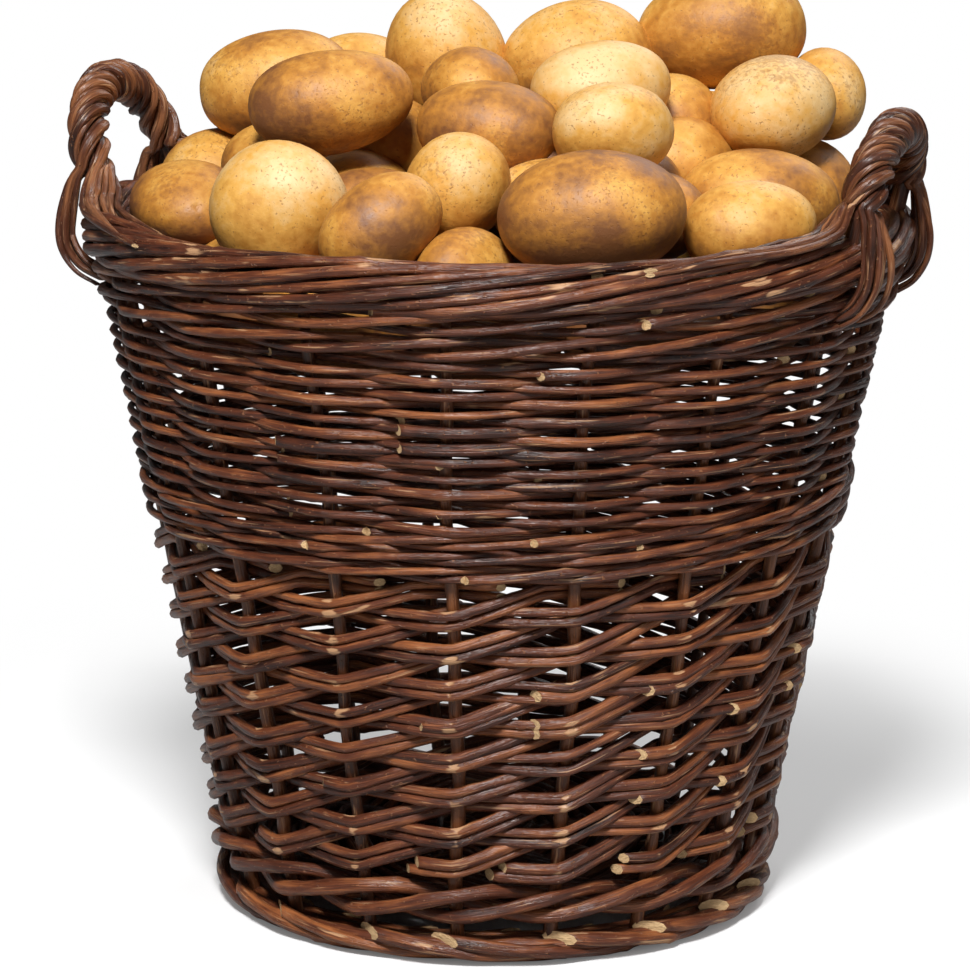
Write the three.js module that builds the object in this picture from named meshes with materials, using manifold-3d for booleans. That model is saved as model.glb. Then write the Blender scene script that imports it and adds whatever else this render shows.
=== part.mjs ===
// Round willow basket with two rope handles and a heap of potatoes.
// Millimetres, +Z up. The origin is the middle of the foot, on the floor. The handles are on +X and -X.
import * as THREE from 'three';
import { mergeVertices } from 'three/addons/utils/BufferGeometryUtils.js';
import Module from 'manifold-3d';

const wasm = await Module();
wasm.setup();

// Driving dimensions of the wall, from the floor up
const CLEARANCE = 0.3; // gap kept between pieces that touch
const FOOT_RADIUS = 149; // outside of the wall, taken down to the floor
const RIM_RADIUS = 225; // outside of the wall, taken up to the top of the border
const FOOT_BORDER_HEIGHT = 20;
const FOOT_WALE_HEIGHT = 28;
const LOWER_WEAVE_HEIGHT = 168;
const MIDDLE_WALE_HEIGHT = 27;
const UPPER_WEAVE_HEIGHT = 114;
const TOP_BORDER_HEIGHT = 28;
const WEAVER_DIAMETER = 5;
const LOWER_COURSE = 10.4; // height of a pair of rods
const UPPER_COURSE = 5.4; // height of a single rod
const COURSE_EDGE = 0.2; // share of a course, at its top and at its bottom, that slopes
const STAKE_SKIN = 1; // weave left over a stake where no rod passes in front of it
const WALE_PROUD = 1.5; // the thick waling rods stand out of the wall on both sides
const TOP_BORDER_WIDTH = 24;
const FOOT_BORDER_PROUD = 6; // outside the wall
const FOOT_BORDER_LEDGE = 10; // inside the wall, under the edge of the base
const FOOT_BORDER_ROUND = 5;

// Stakes, the upright rods that the wall is woven on
const STAKE_COUNT = 18;
const STAKE_BUTT_DIAMETER = 8;
const STAKE_TIP_DIAMETER = 6.5;
const STAKE_FOOT_COVER = 6; // border left under the lower end
const STAKE_TIP_COVER = 8; // border left over the upper end

// Base, a cross of sticks with a woven disc around it
const BASE_STICK_COUNT = 6;
const BASE_STICK_DIAMETER = 8;
const BASE_THICKNESS = 15;
const BASE_LASHING_RADIUS = 36;
const BASE_STICK_EDGE = 6; // weave left outside the ends of the sticks

// Handles, each a bow that is pushed into the wall, with strands twisted round it
const HANDLE_STAKES = 1; // stakes from the handle's middle to the one that a leg stands beside
const LEG_BESIDE = 19; // from that stake to the leg, towards the handle's middle
const RIGHT_HANDLE_RISE = 48; // from the border's top to the middle of the bow
const LEFT_HANDLE_RISE = 55;
const HANDLE_LEAN = 13; // how far the bow's middle leans out past its legs
const LEG_DEPTH = 60; // from the border's top
const BOW_DIAMETER = 8.5;
const STRAND_COUNT = 4;
const STRAND_DIAMETER = 7;
const STRAND_GAP = 0.8; // between the strands and what they lie on
const STRAND_TURNS = 2.5;
const HELIX_START = 0.06; // share of the arch left bare at each foot
const TAIL_DROP = 22; // how far a strand's end runs down below the border
const TAIL_ANGLES = [62, 20, -22, -58]; // degrees round the border's section, from its top to its underside

// Potatoes. Those that don't show are joined in one bed, wedged in the taper of the wall.
const BED_DEPTH = 47; // from the border's top down to the middle of the lower layer
const BED_LENGTH = 92;
const BED_WIDTH = 92;
const BED_THICKNESS = 66;
const BED_PITCH = 80; // from one potato to the next, round a ring or from ring to ring
const BED_PRESS = 5; // how much of the outer ring is flattened against the wall
const CROWN_LIFT = 44; // middle of the upper layer, over the lower one
const CROWN_THICKNESS = 78;
const CROWN_FRONT = 60; // the upper layer ends this far in front of the middle
const POTATO_TAPER = 0.1; // one end is slimmer than the other

// Loose potatoes in the order that they are laid: place x and y, length, width, thickness, and the degrees
// that the long axis is turned about Z and tipped up
const LOOSE_POTATOES = [
  [-147, -79, 84, 62, 52, 118, 0],
  [-74, -140, 70, 64, 70, 20, 10],
  [-14, -160, 70, 52, 50, 40, 35],
  [88, -126, 94, 74, 70, 17, 4],
  [157, -76, 72, 58, 52, 40, 0],
  [148, -8, 86, 64, 58, 20, 0],
  [148, 84, 80, 60, 56, 125, 0],
  [92, 138, 86, 62, 58, 160, 5],
  [13, 160, 78, 66, 58, 10, 0],
  [-66, 146, 90, 62, 58, 45, 6],
  [-129, 96, 76, 62, 56, 95, 0],
  [-160, 9, 80, 62, 56, 80, 0],
  [10, -108, 60, 56, 58, 107, 0],
  [-70, -64, 86, 64, 58, 25, 5],
  [84, -76, 64, 60, 54, 0, 0],
  [-132, 8, 88, 66, 60, 20, 8],
  [140, 50, 72, 64, 58, 60, 10],
  [12, -58, 76, 58, 50, 5, 0],
  [-46, 50, 70, 64, 76, 30, 20],
  [28, 60, 82, 64, 76, 25, 10],
  [98, 98, 92, 68, 66, 20, 5],
  [60, -14, 74, 58, 54, 40, 8],
  [-14, -9, 56, 48, 44, 140, 0],
];

// Facets
const RING_SIDES = 36;
const ROD_SIDES = 6;
const STRAND_SIDES = 5;
const STRAND_STEPS = 44;
const BOW_STEPS = 32;
const HELIX_POINTS = 29;
const BORDER_POINTS = 8;
const POTATO_SEGMENTS = [10, 6];
const BED_SEGMENTS = [7, 5];

// Levels and radii that follow from them
const FOOT_WALE_FLOOR = FOOT_BORDER_HEIGHT;
const LOWER_WEAVE_FLOOR = FOOT_WALE_FLOOR + FOOT_WALE_HEIGHT;
const MIDDLE_WALE_FLOOR = LOWER_WEAVE_FLOOR + LOWER_WEAVE_HEIGHT;
const UPPER_WEAVE_FLOOR = MIDDLE_WALE_FLOOR + MIDDLE_WALE_HEIGHT;
const TOP_BORDER_FLOOR = UPPER_WEAVE_FLOOR + UPPER_WEAVE_HEIGHT;
const HEIGHT = TOP_BORDER_FLOOR + TOP_BORDER_HEIGHT;
const WALL = STAKE_BUTT_DIAMETER + 2 * WEAVER_DIAMETER;
const STAKE_COVER = STAKE_BUTT_DIAMETER / 2 + STAKE_SKIN;
const FLARE = (RIM_RADIUS - FOOT_RADIUS) / HEIGHT;
const wallOuter = (z) => FOOT_RADIUS + FLARE * z;
const wallMiddle = (z) => wallOuter(z) - WALL / 2;
const wallInner = (z) => wallOuter(z) - WALL;
const BORDER_MIDDLE = TOP_BORDER_FLOOR + TOP_BORDER_HEIGHT / 2;
const degrees = THREE.MathUtils.degToRad;

const BARK = new THREE.MeshStandardMaterial({ color: 0x5a2d1a, roughness: 0.5, metalness: 0 });
const STAKE_BARK = new THREE.MeshStandardMaterial({ color: 0x6b3820, roughness: 0.55, metalness: 0 });
const ROPE_BARK = new THREE.MeshStandardMaterial({ color: 0x63301c, roughness: 0.5, metalness: 0 });
const POTATO_SKIN = new THREE.MeshStandardMaterial({ color: 0xc98f3c, roughness: 0.6, metalness: 0 });

const basket = new THREE.Group();

function addPiece(name, geometry, material) {
  const mesh = new THREE.Mesh(geometry, material);
  mesh.name = name;
  basket.add(mesh);
}

/** A geometry with only positions, its shared vertices merged. */
function welded(geometry) {
  geometry.deleteAttribute('normal');
  geometry.deleteAttribute('uv');
  return mergeVertices(geometry);
}

function toSolid(geometry) {
  const merged = welded(geometry);
  return new wasm.Manifold(new wasm.Mesh({
    numProp: 3,
    vertProperties: new Float32Array(merged.attributes.position.array),
    triVerts: new Uint32Array(merged.index.array),
  }));
}

function toGeometry(solid) {
  const { vertProperties, triVerts } = solid.getMesh();
  const geometry = new THREE.BufferGeometry();
  geometry.setAttribute('position', new THREE.BufferAttribute(vertProperties, 3));
  geometry.setIndex(new THREE.BufferAttribute(triVerts, 1));
  return geometry;
}

function joined(geometries) {
  return geometries.map(toSolid).reduce((whole, solid) => whole.add(solid));
}

/** A ring or disc about Z from its section, a list of [radius, height] that runs anticlockwise. */
function turned(section) {
  const points = [...section, section[0]].map(([radius, z]) => new THREE.Vector2(radius, z));
  return new THREE.LatheGeometry(points, RING_SIDES).rotateX(Math.PI / 2);
}

/** A straight round rod from one point to another, its diameter changing from end to end. */
function rod(start, end, startDiameter, endDiameter) {
  const axis = end.clone().sub(start);
  const geometry = new THREE.CylinderGeometry(endDiameter / 2, startDiameter / 2, axis.length(), ROD_SIDES);
  const up = new THREE.Vector3(0, 1, 0);
  geometry.applyQuaternion(new THREE.Quaternion().setFromUnitVectors(up, axis.normalize()));
  return geometry.translate(...start.clone().add(end).multiplyScalar(0.5).toArray());
}

/** A round rod of one diameter bent along a curve. */
function bentRod(path, diameter, sides, steps) {
  const corners = Array.from({ length: sides }, (_, i) => {
    const angle = (2 * Math.PI * i) / sides;
    return new THREE.Vector2(Math.cos(angle), Math.sin(angle)).multiplyScalar(diameter / 2);
  });
  const section = new THREE.Shape(corners);
  return new THREE.ExtrudeGeometry(section, { extrudePath: path, steps, bevelEnabled: false });
}

/** The point on the side that faces an angle, at a distance from the axis, a height and a sideways offset. */
function polar(radius, angle, z, sideways = 0) {
  return new THREE.Vector3(
    radius * Math.cos(angle) - sideways * Math.sin(angle),
    radius * Math.sin(angle) + sideways * Math.cos(angle),
    z,
  );
}

/** A point on the middle of the wall. */
const inWall = (angle, z) => polar(wallMiddle(z), angle, z);

// Stakes and their bores
const stakeAngles = Array.from({ length: STAKE_COUNT }, (_, i) => (2 * Math.PI * i) / STAKE_COUNT);
const STAKE_TIP = HEIGHT - STAKE_TIP_COVER;

/** A stake, or with a clearance the bore that it stands in. */
function stake(angle, clearance) {
  return rod(
    inWall(angle, STAKE_FOOT_COVER - clearance),
    inWall(angle, STAKE_TIP + clearance),
    STAKE_BUTT_DIAMETER + 2 * clearance,
    STAKE_TIP_DIAMETER + 2 * clearance,
  );
}

stakeAngles.forEach((angle, i) => {
  addPiece(`stake_${String(i + 1).padStart(2, '0')}`, stake(angle, 0), STAKE_BARK);
});
const stakeBores = joined(stakeAngles.map((angle) => stake(angle, CLEARANCE)));

// Handle bows: two straight legs in the wall and an arch between them
const HANDLES = [
  { side: 'right', facing: 0, rise: RIGHT_HANDLE_RISE },
  { side: 'left', facing: Math.PI, rise: LEFT_HANDLE_RISE },
];
const LEG_SPREAD = (2 * Math.PI * HANDLE_STAKES) / STAKE_COUNT - LEG_BESIDE / wallMiddle(HEIGHT);
const LEG_TOP = HEIGHT + BOW_DIAMETER / 2; // the legs stay straight until they are clear of the border
const ARCH_SHARE = 0.75; // a cubic arch rises to three quarters of its control points

function bowLeg(angle, clearance) {
  const foot = inWall(angle, HEIGHT - LEG_DEPTH - clearance);
  const top = inWall(angle, LEG_TOP);
  return new THREE.LineCurve3(foot, top);
}

function bowArch({ facing, rise }) {
  const from = inWall(facing - LEG_SPREAD, LEG_TOP);
  const to = inWall(facing + LEG_SPREAD, LEG_TOP);
  const pull = polar(HANDLE_LEAN, facing, HEIGHT + rise - LEG_TOP).divideScalar(ARCH_SHARE);
  return new THREE.CubicBezierCurve3(from, from.clone().add(pull), to.clone().add(pull), to);
}

function bow(handle) {
  const near = bowLeg(handle.facing - LEG_SPREAD, 0);
  const far = bowLeg(handle.facing + LEG_SPREAD, 0);
  const path = new THREE.CurvePath();
  path.add(near);
  path.add(bowArch(handle));
  path.add(new THREE.LineCurve3(far.v2, far.v1));
  return bentRod(path, BOW_DIAMETER, ROD_SIDES, BOW_STEPS);
}

HANDLES.forEach((handle) => addPiece(`${handle.side}_handle_bow`, bow(handle), ROPE_BARK));
// The flats of a bore clear the corners of the leg in it
const BOW_BORE_DIAMETER = (BOW_DIAMETER + 2 * CLEARANCE) / Math.cos(Math.PI / ROD_SIDES);
const legBores = joined(HANDLES.flatMap(({ facing }) => [-LEG_SPREAD, LEG_SPREAD].map((spread) => {
  const leg = bowLeg(facing + spread, CLEARANCE);
  return rod(leg.v1, leg.v2, BOW_BORE_DIAMETER, BOW_BORE_DIAMETER);
})));
const wallBores = stakeBores.add(legBores);

// Handle strands: each winds round the arch, and at a foot it runs down outside the border or ends on it
const HELIX_RADIUS = BOW_DIAMETER / 2 + STRAND_GAP + STRAND_DIAMETER / 2;
const TAIL_CLEARANCE = STRAND_DIAMETER / 2 + STRAND_GAP;

/** A strand's way over the border and down beside a leg, on one side of it or the other. */
function tail(angle, sideways) {
  const over = TAIL_ANGLES.map((turn) => polar(
    wallMiddle(BORDER_MIDDLE) + (TOP_BORDER_WIDTH / 2 + TAIL_CLEARANCE) * Math.cos(degrees(turn)),
    angle,
    BORDER_MIDDLE + (TOP_BORDER_HEIGHT / 2 + TAIL_CLEARANCE) * Math.sin(degrees(turn)),
    sideways,
  ));
  const down = [TAIL_DROP / 2, TAIL_DROP].map((drop) => {
    const z = TOP_BORDER_FLOOR - drop;
    return polar(wallOuter(z) + TAIL_CLEARANCE, angle, z, sideways);
  });
  return [...over, ...down];
}

function strand(handle, index) {
  const { facing } = handle;
  const arch = bowArch(handle);
  const startTurn = Math.PI / 4 + (2 * Math.PI * index) / STRAND_COUNT;
  const turnAt = (share) => startTurn + 2 * Math.PI * STRAND_TURNS * share;
  const helix = Array.from({ length: HELIX_POINTS }, (_, i) => {
    const share = i / (HELIX_POINTS - 1);
    const along = HELIX_START + (1 - 2 * HELIX_START) * share;
    const middle = arch.getPointAt(along);
    const tangent = arch.getTangentAt(along);
    const outward = middle.clone().setZ(0).normalize();
    const normal = outward.addScaledVector(tangent, -outward.dot(tangent)).normalize();
    const side = tangent.clone().cross(normal);
    return middle
      .addScaledVector(normal, HELIX_RADIUS * Math.cos(turnAt(share)))
      .addScaledVector(side, HELIX_RADIUS * Math.sin(turnAt(share)));
  });
  const sideAt = (share) => HELIX_RADIUS * Math.sign(Math.sin(turnAt(share)));
  const isOuter = (share) => Math.cos(turnAt(share)) > 0;
  const nearTail = isOuter(0) ? tail(facing - LEG_SPREAD, sideAt(0)).reverse() : [];
  const farTail = isOuter(1) ? tail(facing + LEG_SPREAD, -sideAt(1)) : [];
  const path = new THREE.CatmullRomCurve3([...nearTail, ...helix, ...farTail]);
  return bentRod(path, STRAND_DIAMETER, STRAND_SIDES, STRAND_STEPS);
}

HANDLES.forEach((handle) => {
  for (let i = 0; i < STRAND_COUNT; i += 1) {
    addPiece(`${handle.side}_handle_strand_${i + 1}`, strand(handle, i), ROPE_BARK);
  }
});

// Woven rings of the wall, each bored for the stakes and the legs of the bows
function waleRing(floor, height) {
  const low = floor + CLEARANCE / 2;
  const high = floor + height - CLEARANCE / 2;
  return turned([
    [wallInner(low) - WALE_PROUD, low],
    [wallOuter(low) + WALE_PROUD, low],
    [wallOuter(high) + WALE_PROUD, high],
    [wallInner(high) - WALE_PROUD, high],
  ]);
}

/**
 * A woven ring with the relief of its rods, course by course up to a level. A rod stands out in front of a
 * stake, and only the stake stands out where the rod passes behind. Halfway between stakes the rods cross the
 * middle of the wall.
 */
function reliefRing(floor, height, course, top, isFront) {
  const low = floor + CLEARANCE / 2;
  const high = floor + height - CLEARANCE / 2;
  const count = Math.floor((top - low) / course);
  const rows = Array.from({ length: count }, (_, i) => [i + COURSE_EDGE, i + 1 - COURSE_EDGE]).flat();
  const levels = rows.map((row) => low + row * course);
  const outer = [low, ...levels, low + count * course, high].map((z) => [wallOuter(z), z]);
  const geometry = turned([[wallInner(low), low], ...outer, [wallInner(high), high]]);
  const points = geometry.attributes.position;
  for (let i = 0; i < points.count; i += 1) {
    const [x, y, z] = new THREE.Vector3().fromBufferAttribute(points, i).toArray();
    const radius = Math.hypot(x, y);
    if (radius > wallMiddle(z) && levels.some((level) => Math.abs(level - z) < CLEARANCE)) {
      const stakes = (Math.atan2(y, x) * STAKE_COUNT) / (2 * Math.PI);
      const nearest = Math.round(stakes);
      const atStake = Math.abs(stakes - nearest) < 1 / 4;
      const crest = isFront(Math.floor((z - low) / course), nearest) ? WALL / 2 : STAKE_COVER;
      const scale = (wallMiddle(z) + (atStake ? crest : WEAVER_DIAMETER / 2)) / radius;
      points.setXY(i, x * scale, y * scale);
    }
  }
  return geometry;
}

const isEven = (number) => number % 2 === 0;

/** Pairs that climb a course from stake to stake are in front at the same levels of every stake. */
function lowerWeave() {
  const top = LOWER_WEAVE_FLOOR + LOWER_WEAVE_HEIGHT;
  return reliefRing(LOWER_WEAVE_FLOOR, LOWER_WEAVE_HEIGHT, LOWER_COURSE, top, (course) => isEven(course));
}

/** Single rods are in front of every second stake. The ring is plain where the legs of the bows are in it. */
function upperWeave() {
  const top = HEIGHT - LEG_DEPTH;
  const isFront = (course, stakeNumber) => isEven(course + stakeNumber);
  return reliefRing(UPPER_WEAVE_FLOOR, UPPER_WEAVE_HEIGHT, UPPER_COURSE, top, isFront);
}

function footBorder() {
  const inner = wallInner(0) - FOOT_BORDER_LEDGE;
  const outer = wallOuter(0) + FOOT_BORDER_PROUD;
  const high = FOOT_BORDER_HEIGHT - CLEARANCE / 2;
  return turned([
    [inner, 0],
    [outer - FOOT_BORDER_ROUND, 0],
    [outer, FOOT_BORDER_ROUND],
    [outer, high - FOOT_BORDER_ROUND],
    [outer - FOOT_BORDER_ROUND, high],
    [inner, high],
  ]);
}

function topBorder() {
  const section = Array.from({ length: BORDER_POINTS }, (_, i) => {
    const angle = (2 * Math.PI * i) / BORDER_POINTS + Math.PI / 2;
    return [
      wallMiddle(BORDER_MIDDLE) + (TOP_BORDER_WIDTH / 2) * Math.cos(angle),
      BORDER_MIDDLE + (TOP_BORDER_HEIGHT / 2 - CLEARANCE / 2) * Math.sin(angle),
    ];
  });
  return turned(section);
}

const RINGS = [
  ['foot_border', footBorder()],
  ['foot_wale', waleRing(FOOT_WALE_FLOOR, FOOT_WALE_HEIGHT)],
  ['lower_weave', lowerWeave()],
  ['middle_wale', waleRing(MIDDLE_WALE_FLOOR, MIDDLE_WALE_HEIGHT)],
  ['upper_weave', upperWeave()],
  ['top_border', topBorder()],
];
RINGS.forEach(([name, geometry]) => {
  addPiece(name, toGeometry(toSolid(geometry).subtract(wallBores)), BARK);
});

// Base: sticks crossed and lashed at the middle, in a woven disc that lies on the foot border's ledge
const BASE_FLOOR = FOOT_BORDER_HEIGHT + CLEARANCE / 2;
const BASE_RADIUS = wallInner(BASE_FLOOR) - WALE_PROUD - CLEARANCE;
const BASE_MIDDLE = BASE_FLOOR + BASE_THICKNESS / 2;

function disc(radius, thickness) {
  return turned([
    [0, BASE_MIDDLE - thickness / 2],
    [radius, BASE_MIDDLE - thickness / 2],
    [radius, BASE_MIDDLE + thickness / 2],
    [0, BASE_MIDDLE + thickness / 2],
  ]);
}

function baseCross(clearance) {
  const reach = BASE_RADIUS - BASE_STICK_EDGE + clearance;
  const sticks = Array.from({ length: BASE_STICK_COUNT }, (_, i) => {
    const angle = (Math.PI * i) / BASE_STICK_COUNT;
    const diameter = BASE_STICK_DIAMETER + 2 * clearance;
    return rod(polar(-reach, angle, BASE_MIDDLE), polar(reach, angle, BASE_MIDDLE), diameter, diameter);
  });
  return joined(sticks);
}

const lashing = toSolid(disc(BASE_LASHING_RADIUS, BASE_THICKNESS));
const lashingHole = toSolid(disc(BASE_LASHING_RADIUS + CLEARANCE, 2 * BASE_THICKNESS));
const baseDisc = toSolid(disc(BASE_RADIUS, BASE_THICKNESS));
addPiece('base_cross', toGeometry(baseCross(0).add(lashing)), STAKE_BARK);
addPiece('base_weave', toGeometry(baseDisc.subtract(lashingHole).subtract(baseCross(CLEARANCE))), BARK);

/** An egg-shaped potato, its long axis turned about Z and tipped up. */
function potato(length, width, thickness, turn, tip, segments) {
  const geometry = new THREE.SphereGeometry(1, ...segments);
  const position = geometry.attributes.position;
  for (let i = 0; i < position.count; i += 1) {
    const slim = 1 - POTATO_TAPER * position.getX(i);
    position.setX(i, (position.getX(i) * length) / 2);
    position.setY(i, (position.getY(i) * slim * width) / 2);
    position.setZ(i, (position.getZ(i) * slim * thickness) / 2);
  }
  return geometry.rotateY(-degrees(tip)).rotateZ(degrees(turn));
}

// Bed of hidden potatoes, in rings on two layers. The outer ring lies against the wall, which trims it.
const BED_HEIGHT = HEIGHT - BED_DEPTH;
const BED_RADIUS = wallInner(BED_HEIGHT) + BED_PRESS - BED_WIDTH / 2;
const BED_RING_COUNT = Math.ceil(BED_RADIUS / BED_PITCH);

/** Where the potatoes of one layer lie, from an inner ring to an outer one. Ring 0 is the middle. */
function bedPlaces(firstRing, lastRing, z) {
  const places = [];
  for (let ring = firstRing; ring <= lastRing; ring += 1) {
    const radius = (BED_RADIUS * ring) / BED_RING_COUNT;
    const count = Math.max(1, Math.floor((2 * Math.PI * radius) / BED_PITCH));
    for (let i = 0; i < count; i += 1) {
      places.push(polar(radius, (2 * Math.PI * (i + 0.5)) / count, z));
    }
  }
  return places;
}

/** One layer of the bed, its potatoes laid along the rings. */
function bedLayer(places, thickness) {
  return joined(places.map((place) => {
    const along = THREE.MathUtils.radToDeg(Math.atan2(place.y, place.x)) + 90;
    const shape = potato(BED_LENGTH, BED_WIDTH, thickness, along, 0, BED_SEGMENTS);
    return shape.translate(...place.toArray());
  }));
}

const insideWall = toSolid(turned([
  [0, UPPER_WEAVE_FLOOR],
  [wallInner(UPPER_WEAVE_FLOOR) - CLEARANCE, UPPER_WEAVE_FLOOR],
  [wallInner(HEIGHT) - CLEARANCE, HEIGHT],
  [0, HEIGHT],
]));
const lowerPlaces = bedPlaces(1, BED_RING_COUNT, BED_HEIGHT);
const crownPlaces = bedPlaces(0, BED_RING_COUNT - 1, BED_HEIGHT + CROWN_LIFT);
const lowerBed = bedLayer(lowerPlaces, BED_THICKNESS).intersect(insideWall);
const crown = bedLayer(crownPlaces.filter(({ y }) => y > -CROWN_FRONT), CROWN_THICKNESS);
addPiece('potato_bed', toGeometry(lowerBed.add(crown)), POTATO_SKIN);

/** The points, edges and faces of a geometry, for dropping one piece on another. */
function facets(geometry) {
  const { position } = geometry.attributes;
  const points = [];
  for (let i = 0; i < position.count; i += 1) {
    points.push(new THREE.Vector3().fromBufferAttribute(position, i));
  }
  const index = geometry.index.array;
  const faces = [];
  const edges = new Map();
  for (let i = 0; i < index.length; i += 3) {
    const face = [index[i], index[i + 1], index[i + 2]];
    faces.push(face.map((corner) => points[corner]));
    face.forEach((corner, k) => {
      const next = face[(k + 1) % 3];
      edges.set(`${Math.min(corner, next)}_${Math.max(corner, next)}`, [points[corner], points[next]]);
    });
  }
  return { points, faces, edges: [...edges.values()], box: new THREE.Box3().setFromPoints(points) };
}

/** Twice the signed area of a triangle seen from above. */
const area = (a, b, c) => (b.x - a.x) * (c.y - a.y) - (c.x - a.x) * (b.y - a.y);

/** The least height of points over faces, or with sign -1 of faces over points. */
function pointGap(points, faces, sign) {
  let least = Infinity;
  for (const [a, b, c] of faces) {
    const whole = area(a, b, c);
    if (whole === 0) continue;
    for (const p of points) {
      const u = area(p, b, c) / whole;
      const v = area(a, p, c) / whole;
      if (u < 0 || v < 0 || u + v > 1) continue;
      least = Math.min(least, sign * (p.z - (u * a.z + v * b.z + (1 - u - v) * c.z)));
    }
  }
  return least;
}

/** The least height of one set of edges over another where they cross, seen from above. */
function edgeGap(upper, lower) {
  let least = Infinity;
  for (const [a, b] of upper) {
    for (const [c, d] of lower) {
      const cut = area(a, b, d) - area(a, b, c);
      if (cut === 0) continue;
      const onLower = -area(a, b, c) / cut;
      if (onLower < 0 || onLower > 1) continue;
      const x = c.x + onLower * (d.x - c.x);
      const y = c.y + onLower * (d.y - c.y);
      const alongX = Math.abs(b.x - a.x) > Math.abs(b.y - a.y);
      const onUpper = alongX ? (x - a.x) / (b.x - a.x) : (y - a.y) / (b.y - a.y);
      if (onUpper < 0 || onUpper > 1) continue;
      least = Math.min(least, a.z + onUpper * (b.z - a.z) - (c.z + onLower * (d.z - c.z)));
    }
  }
  return least;
}

/** How far a piece that lies wholly above another can fall before they touch. */
function fall(upper, lower) {
  return Math.min(
    pointGap(upper.points, lower.faces, 1),
    pointGap(lower.points, upper.faces, -1),
    edgeGap(upper.edges, lower.edges),
  );
}

// Loose potatoes, dropped one by one on the basket, the bed and those laid before them
const DROP_HEIGHT = 4 * HEIGHT;
const pile = basket.children.map(({ geometry }) => facets(welded(geometry.clone())));

LOOSE_POTATOES.forEach(([x, y, length, width, thickness, turn, tip], i) => {
  const geometry = welded(potato(length, width, thickness, turn, tip, POTATO_SEGMENTS));
  geometry.translate(x, y, DROP_HEIGHT);
  const falling = facets(geometry);
  const under = pile.filter(({ box }) => (
    box.min.x < falling.box.max.x && box.max.x > falling.box.min.x
    && box.min.y < falling.box.max.y && box.max.y > falling.box.min.y
  ));
  const drop = Math.min(...under.map((piece) => fall(falling, piece)));
  geometry.translate(0, 0, CLEARANCE - drop);
  pile.push(facets(geometry));
  addPiece(`potato_${String(i + 1).padStart(2, '0')}`, geometry, POTATO_SKIN);
});

export default basket;
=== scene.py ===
from math import cos, pi, radians, sin, tan

import bpy
import numpy as np
from mathutils import Matrix, Vector


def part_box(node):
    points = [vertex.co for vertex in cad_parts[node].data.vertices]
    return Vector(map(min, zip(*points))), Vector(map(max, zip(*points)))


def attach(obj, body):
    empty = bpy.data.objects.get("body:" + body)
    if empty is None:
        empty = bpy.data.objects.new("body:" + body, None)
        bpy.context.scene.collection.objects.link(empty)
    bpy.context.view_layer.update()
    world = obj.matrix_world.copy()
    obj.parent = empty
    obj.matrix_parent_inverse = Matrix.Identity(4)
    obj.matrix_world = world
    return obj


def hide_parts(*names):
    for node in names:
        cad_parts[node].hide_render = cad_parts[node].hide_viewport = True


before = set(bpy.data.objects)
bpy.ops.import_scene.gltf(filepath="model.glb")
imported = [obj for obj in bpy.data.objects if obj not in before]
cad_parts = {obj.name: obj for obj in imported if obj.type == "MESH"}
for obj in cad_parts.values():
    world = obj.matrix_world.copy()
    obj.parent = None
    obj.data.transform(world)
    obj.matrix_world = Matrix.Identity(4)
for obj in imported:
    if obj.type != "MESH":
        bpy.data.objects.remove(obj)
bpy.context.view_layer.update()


# Base cross. Six thick willow sticks: three go through slits in the other three, and their arms open out
# like twelve spokes. Thin rods bind the crossing, first over one pair of arms and then over the other.

growth = np.random.default_rng(11)
BUD_SPACING = 0.036
BUD_SPACING_RANGE = (0.75, 1.3)
BUD_TURN = 2.4
BUD_LENGTH = 0.0028
BUD_SWELL = 0.24
OVAL = 0.05
UNEVEN = 0.05
UNEVEN_LENGTH = 0.006
CUT_LENGTH = 4
GRAIN_APART = 3.1
GRAIN_SHIFT = 3


def mark(mesh, name, values):
    """Keeps a number for each point of a mesh, as an attribute that its material reads."""
    mesh.attributes.new(name, "FLOAT", "POINT").data.foreach_set("value", values.ravel())


def tube_mesh(name, rings):
    """Closed tubes from rings of corners, an array (tube, ring, corner, xyz).

    Quads join each ring to the next, and a flat face closes each end. The face attribute cut is 1 on the
    ends.
    """
    tubes, steps, sides = rings.shape[:3]
    index = np.arange(tubes * steps * sides).reshape(tubes, steps, sides)
    turned = np.roll(index, -1, axis=2)
    quads = np.stack([index[:, :-1], turned[:, :-1], turned[:, 1:], index[:, 1:]], axis=-1)
    ends = np.concatenate([index[:, 0, ::-1], index[:, -1]])
    corners = np.concatenate([quads.ravel(), ends.ravel()])
    count = quads.size // 4
    starts = np.concatenate([np.arange(count) * 4, quads.size + np.arange(2 * tubes) * sides])
    is_end = np.arange(len(starts)) >= count
    mesh = bpy.data.meshes.new(name)
    mesh.vertices.add(index.size)
    mesh.vertices.foreach_set("co", rings.ravel())
    mesh.loops.add(len(corners))
    mesh.loops.foreach_set("vertex_index", corners)
    mesh.polygons.add(len(starts))
    mesh.polygons.foreach_set("loop_start", starts)
    mesh.polygons.foreach_set("use_smooth", ~is_end)
    mesh.update(calc_edges=True)
    mesh.attributes.new("cut", "FLOAT", "FACE").data.foreach_set("value", is_end.astype(np.float32))
    return mesh


def unit(vectors):
    """Each vector over its own length."""
    return vectors / np.linalg.norm(vectors, axis=-1, keepdims=True)


def along(path):
    """The length of a path up to each of its points: the running sum of its steps."""
    steps = np.linalg.norm(np.diff(path, axis=1), axis=-1)
    return np.concatenate([np.zeros((len(path), 1)), np.cumsum(steps, axis=1)], axis=1)


def about_axis(circle, angle, level):
    """Points by their distance from the basket's axis, their angle round it and their level."""
    return np.stack(np.broadcast_arrays(circle * np.cos(angle), circle * np.sin(angle), level), -1)


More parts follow.
